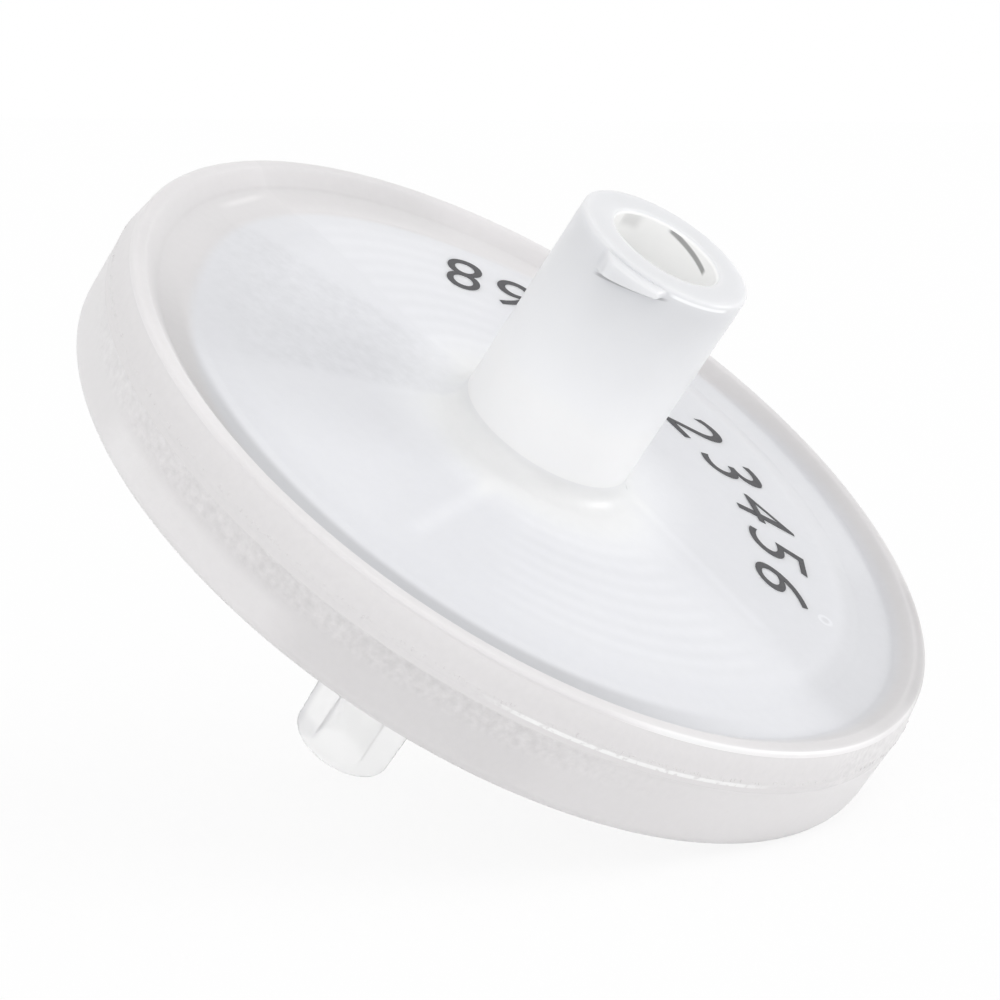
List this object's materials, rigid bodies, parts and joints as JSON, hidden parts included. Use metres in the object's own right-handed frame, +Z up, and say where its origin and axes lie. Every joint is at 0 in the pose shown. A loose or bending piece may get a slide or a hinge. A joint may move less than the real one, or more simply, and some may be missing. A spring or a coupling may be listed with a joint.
{
  "type": "syringe filter",
  "caption": "Round in-line syringe filter: a flat welded disc housing with a luer socket hub above and a luer tip below, lying on its rim.",
  "frame": {"origin": "middle of the bounding box, on the bench that the filter lies on", "axes": "+Z up; the filter's own axis lies in the XZ plane and leans 36.9 degrees from +Z towards +X, with the inlet hub at its upper end; Y runs across the disc"},
  "size_m": [0.0296, 0.0344, 0.0238],
  "materials": {
    "housing": "milky translucent polypropylene, smooth with a soft shine",
    "membrane": "matt white porous film"
  },
  "bodies": {
    "root": {"inlet_housing": "housing", "outlet_housing": "housing", "filter_membrane": "membrane"}
  },
  "joints": []
}
